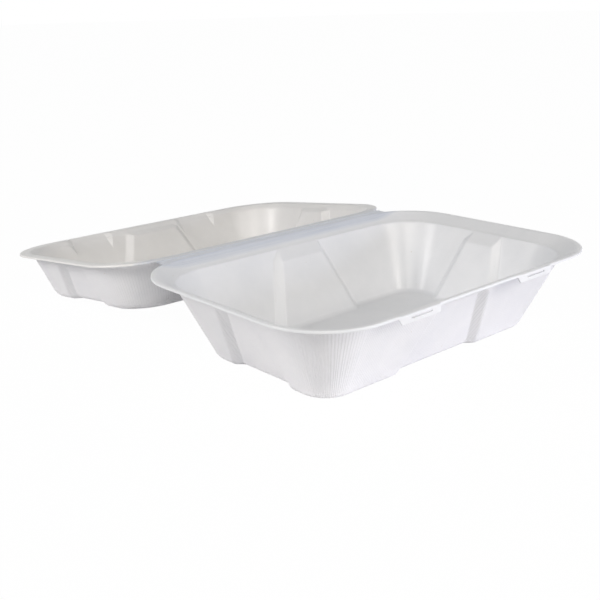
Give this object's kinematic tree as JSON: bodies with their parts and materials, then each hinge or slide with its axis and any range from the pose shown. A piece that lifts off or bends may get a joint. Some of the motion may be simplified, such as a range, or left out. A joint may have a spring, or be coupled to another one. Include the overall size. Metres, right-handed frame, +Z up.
{
  "type": "clamshell food container",
  "caption": "Open moulded-fibre takeaway container: a deep tray and a shallower lid with panelled, sloping walls, turned-down rims and front locks, hinged along the long side.",
  "frame": {"origin": "middle of the base's flat underside, on the table", "axes": "+X along the fold, +Y from the base's front edge towards the lid, +Z up from the table"},
  "size_m": [0.229, 0.32, 0.0485],
  "materials": {
    "moulded_fibre": "matt pressed plant fibre, smooth inside and with a fine wire-mesh print outside"
  },
  "bodies": {
    "base": {"base": "moulded_fibre"},
    "lid": {"lid": "moulded_fibre"}
  },
  "joints": [
    {"name": "lid_fold", "type": "hinge", "parent": "base", "child": "lid", "pos_m": [0, 0.08165, 0.0487], "axis": [1, 0, 0], "range_deg": [0, 187]}
  ]
}
